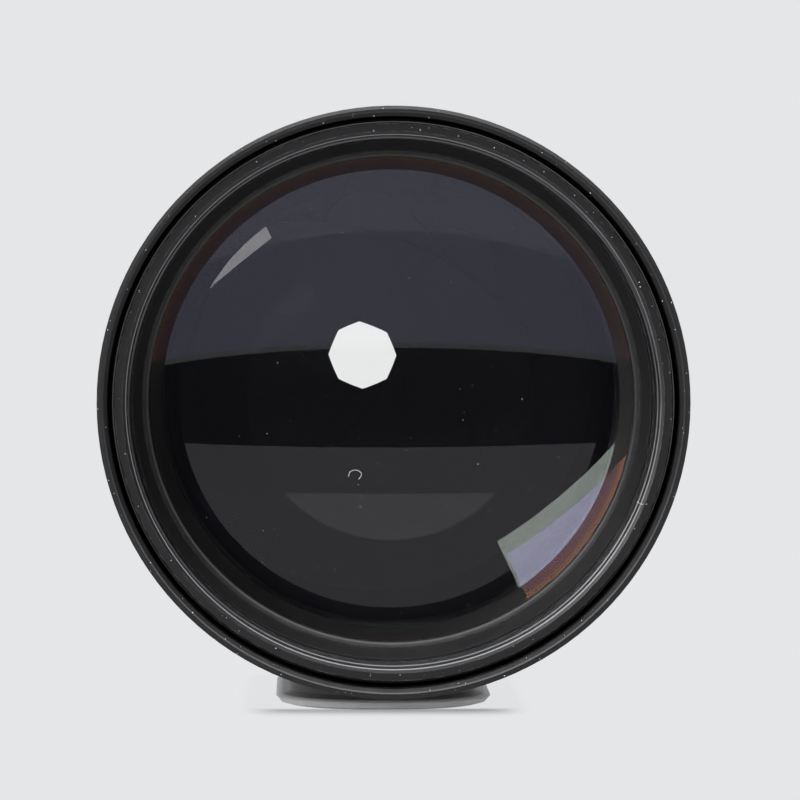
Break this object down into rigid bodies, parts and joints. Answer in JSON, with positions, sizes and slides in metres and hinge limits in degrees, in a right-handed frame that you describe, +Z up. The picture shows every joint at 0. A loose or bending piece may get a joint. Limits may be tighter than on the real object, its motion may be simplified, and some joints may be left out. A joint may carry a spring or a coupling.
{
  "type": "telephoto lens",
  "caption": "Long telephoto lens with sliding hood, helicoid focusing ring, bladed iris, aperture ring, bayonet flange and a rotating tripod collar that it stands on.",
  "frame": {"origin": "mouth of the threaded tripod socket in the foot, on the surface that the lens stands on, below the optical axis", "axes": "-Y is the way the front glass looks, along the optical axis; +Z is up, from the foot to the barrel; +X is to the right when the front glass is seen"},
  "size_m": [0.093, 0.211, 0.0945],
  "materials": {
    "hood_black": "fine matt black anodising",
    "barrel_black": "satin black anodising",
    "inner_black": "dull anti-reflection black",
    "grip_rubber": "ribbed black rubber",
    "coated_glass": "polished, multi-layer coating",
    "helicoid_brass": "machined, greased",
    "blade_steel": "blued spring steel",
    "bright_mount": "hard satin chrome",
    "screw_steel": "turned steel",
    "iris_metal": "blackened",
    "foot_enamel": "dark grey enamel",
    "knob_black": "black anodising with fluted edge",
    "sole_grey": "dusty grey rubber",
    "socket_brass": "machined brass",
    "hood_felt": "black felt"
  },
  "bodies": {
    "foot": {"tripod_collar": "barrel_black", "tripod_foot": "foot_enamel", "sole_pad": "sole_grey", "tripod_socket": "socket_brass", "foot_screws": "screw_steel"},
    "lock_knob": {"lock_knob": "knob_black", "lock_stud": "screw_steel"},
    "barrel": {"main_barrel": "barrel_black", "guide_key": "helicoid_brass", "field_baffle": "inner_black", "index_ring": "barrel_black", "thrust_ring": "helicoid_brass", "iris_housing": "inner_black", "iris_retainer": "inner_black", "click_ball": "screw_steel", "click_spring": "screw_steel", "rear_barrel": "barrel_black", "rear_cell": "inner_black", "rear_first_element": "coated_glass", "rear_second_element": "coated_glass", "rear_retaining_ring": "inner_black", "rear_baffle": "inner_black", "mount_base": "barrel_black", "mount_flange": "bright_mount", "mount_screws": "screw_steel"},
    "focus_ring": {"focus_ring": "barrel_black", "focus_grip": "grip_rubber", "helicoid_sleeve": "helicoid_brass"},
    "head": {"filter_ring": "barrel_black", "front_barrel": "barrel_black", "front_retaining_ring": "inner_black", "first_element": "coated_glass", "first_spacer": "inner_black", "second_element": "coated_glass", "second_spacer": "inner_black", "third_element": "coated_glass", "front_cell": "inner_black", "helicoid_tube": "inner_black", "hood_felt": "hood_felt"},
    "hood": {"hood_tube": "hood_black", "hood_stop_ring": "hood_black"},
    "aperture_ring": {"aperture_ring": "barrel_black", "iris_link": "iris_metal", "iris_cam_ring": "iris_metal"},
    "blade_1": {"iris_blade_1": "blade_steel"},
    "blade_2": {"iris_blade_2": "blade_steel"},
    "blade_3": {"iris_blade_3": "blade_steel"},
    "blade_4": {"iris_blade_4": "blade_steel"},
    "blade_5": {"iris_blade_5": "blade_steel"},
    "blade_6": {"iris_blade_6": "blade_steel"},
    "blade_7": {"iris_blade_7": "blade_steel"},
    "blade_8": {"iris_blade_8": "blade_steel"}
  },
  "joints": [
    {"name": "collar_turn", "type": "hinge", "parent": "foot", "child": "barrel", "pos_m": [0, 0, 0.0513], "axis": [0, -1, 0], "continuous": true},
    {"name": "lock_turn", "type": "hinge", "parent": "foot", "child": "lock_knob", "pos_m": [0, 0, 0.0513], "axis": [0.9063, 0, -0.4226], "range_deg": [0, 180]},
    {"name": "focus_turn", "type": "hinge", "parent": "barrel", "child": "focus_ring", "pos_m": [0, 0, 0.0513], "axis": [0, -1, 0], "range_deg": [0, 240]},
    {"name": "head_slide", "type": "slide", "parent": "barrel", "child": "head", "axis": [0, -1, 0], "range_m": [0, 0.024]},
    {"name": "hood_slide", "type": "slide", "parent": "head", "child": "hood", "axis": [0, -1, 0], "range_m": [0, 0.036]},
    {"name": "aperture_turn", "type": "hinge", "parent": "barrel", "child": "aperture_ring", "pos_m": [0, 0, 0.0513], "axis": [0, 1, 0], "range_deg": [0, 30]},
    {"name": "blade_1_turn", "type": "hinge", "parent": "barrel", "child": "blade_1", "pos_m": [0.02082, 0.027, 0.05404], "axis": [0, 1, 0], "range_deg": [0, 30]},
    {"name": "blade_2_turn", "type": "hinge", "parent": "barrel", "child": "blade_2", "pos_m": [0.01278, 0.027, 0.06796], "axis": [0, 1, 0], "range_deg": [0, 30]},
    {"name": "blade_3_turn", "type": "hinge", "parent": "barrel", "child": "blade_3", "pos_m": [-0.00274, 0.027, 0.07212], "axis": [0, 1, 0], "range_deg": [0, 30]},
    {"name": "blade_4_turn", "type": "hinge", "parent": "barrel", "child": "blade_4", "pos_m": [-0.01666, 0.027, 0.06408], "axis": [0, 1, 0], "range_deg": [0, 30]},
    {"name": "blade_5_turn", "type": "hinge", "parent": "barrel", "child": "blade_5", "pos_m": [-0.02082, 0.027, 0.04856], "axis": [0, 1, 0], "range_deg": [0, 30]},
    {"name": "blade_6_turn", "type": "hinge", "parent": "barrel", "child": "blade_6", "pos_m": [-0.01278, 0.027, 0.03464], "axis": [0, 1, 0], "range_deg": [0, 30]},
    {"name": "blade_7_turn", "type": "hinge", "parent": "barrel", "child": "blade_7", "pos_m": [0.00274, 0.027, 0.03048], "axis": [0, 1, 0], "range_deg": [0, 30]},
    {"name": "blade_8_turn", "type": "hinge", "parent": "barrel", "child": "blade_8", "pos_m": [0.01666, 0.027, 0.03852], "axis": [0, 1, 0], "range_deg": [0, 30]}
  ],
  "couplings": [
    {"joint": "head_slide", "follows": "focus_turn", "m_per_rad": 0.0057296},
    {"joint": "blade_1_turn", "follows": "aperture_turn", "ratio": 1},
    {"joint": "blade_2_turn", "follows": "aperture_turn", "ratio": 1},
    {"joint": "blade_3_turn", "follows": "aperture_turn", "ratio": 1},
    {"joint": "blade_4_turn", "follows": "aperture_turn", "ratio": 1},
    {"joint": "blade_5_turn", "follows": "aperture_turn", "ratio": 1},
    {"joint": "blade_6_turn", "follows": "aperture_turn", "ratio": 1},
    {"joint": "blade_7_turn", "follows": "aperture_turn", "ratio": 1},
    {"joint": "blade_8_turn", "follows": "aperture_turn", "ratio": 1}
  ]
}
